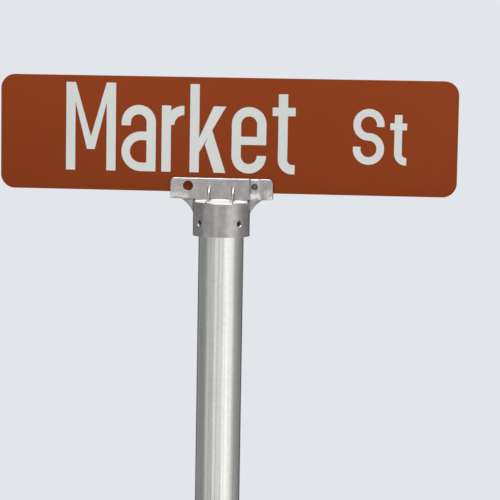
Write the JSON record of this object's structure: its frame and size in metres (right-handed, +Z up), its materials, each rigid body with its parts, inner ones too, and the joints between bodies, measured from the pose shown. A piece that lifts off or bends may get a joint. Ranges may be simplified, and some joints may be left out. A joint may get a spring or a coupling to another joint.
{
  "type": "street-name signpost",
  "caption": "Street-name blade held on edge in a slotted cap bracket with set screws on top of a round tubular steel post.",
  "frame": {"origin": "middle of the open lower end of the post, on the post's axis", "axes": "+X along the blade to the right as its front is read, the front faces -Y, +Z up along the post"},
  "size_m": [0.6096, 0.076, 3.2164],
  "materials": {
    "galvanised_post": "zinc-galvanised tube, drawn streaks along its length",
    "cast_bracket": "satin grey as-cast aluminium",
    "blade_sheet": "mill sheet with sheared edges",
    "set_screws": "plain dark steel",
    "brown_film": "smooth brown reflective film",
    "letter_film": "smooth silver-white reflective film"
  },
  "bodies": {
    "post": {"post": "galvanised_post"},
    "bracket": {"bracket": "cast_bracket"},
    "blade": {"sign_blade": "blade_sheet", "film_front": "brown_film", "film_rear": "brown_film", "front_letter_m": "letter_film", "front_letter_a": "letter_film", "front_letter_r": "letter_film", "front_letter_k": "letter_film", "front_letter_e": "letter_film", "front_letter_t": "letter_film", "rear_letter_m": "letter_film", "rear_letter_a": "letter_film", "rear_letter_r": "letter_film", "rear_letter_k": "letter_film", "rear_letter_e": "letter_film", "rear_letter_t": "letter_film", "front_suffix_s": "letter_film", "front_suffix_t": "letter_film", "rear_suffix_s": "letter_film", "rear_suffix_t": "letter_film"},
    "cap_screw_front_left": {"cap_screw_front_left": "set_screws"},
    "cap_screw_front_right": {"cap_screw_front_right": "set_screws"},
    "cap_screw_rear_right": {"cap_screw_rear_right": "set_screws"},
    "cap_screw_rear_left": {"cap_screw_rear_left": "set_screws"},
    "blade_screw_front": {"blade_screw_front": "set_screws"},
    "blade_screw_rear": {"blade_screw_rear": "set_screws"}
  },
  "joints": [
    {"name": "bracket_swivel", "type": "hinge", "parent": "post", "child": "bracket", "pos_m": [0, 0, 3.03], "axis": [0, 0, 1], "continuous": true},
    {"name": "blade_slide", "type": "slide", "parent": "bracket", "child": "blade", "axis": [1, 0, 0], "range_m": [-0.23, 0.23]},
    {"name": "cap_screw_front_left_travel", "type": "slide", "parent": "bracket", "child": "cap_screw_front_left", "axis": [-0.7071, -0.7071, 0], "range_m": [0, 0.006]},
    {"name": "cap_screw_front_right_travel", "type": "slide", "parent": "bracket", "child": "cap_screw_front_right", "axis": [0.7071, -0.7071, 0], "range_m": [0, 0.006]},
    {"name": "cap_screw_rear_right_travel", "type": "slide", "parent": "bracket", "child": "cap_screw_rear_right", "axis": [0.7071, 0.7071, 0], "range_m": [0, 0.006]},
    {"name": "cap_screw_rear_left_travel", "type": "slide", "parent": "bracket", "child": "cap_screw_rear_left", "axis": [-0.7071, 0.7071, 0], "range_m": [0, 0.006]},
    {"name": "blade_screw_front_travel", "type": "slide", "parent": "bracket", "child": "blade_screw_front", "axis": [0, -1, 0], "range_m": [0, 0.007]},
    {"name": "blade_screw_rear_travel", "type": "slide", "parent": "bracket", "child": "blade_screw_rear", "axis": [0, 1, 0], "range_m": [0, 0.007]}
  ]
}
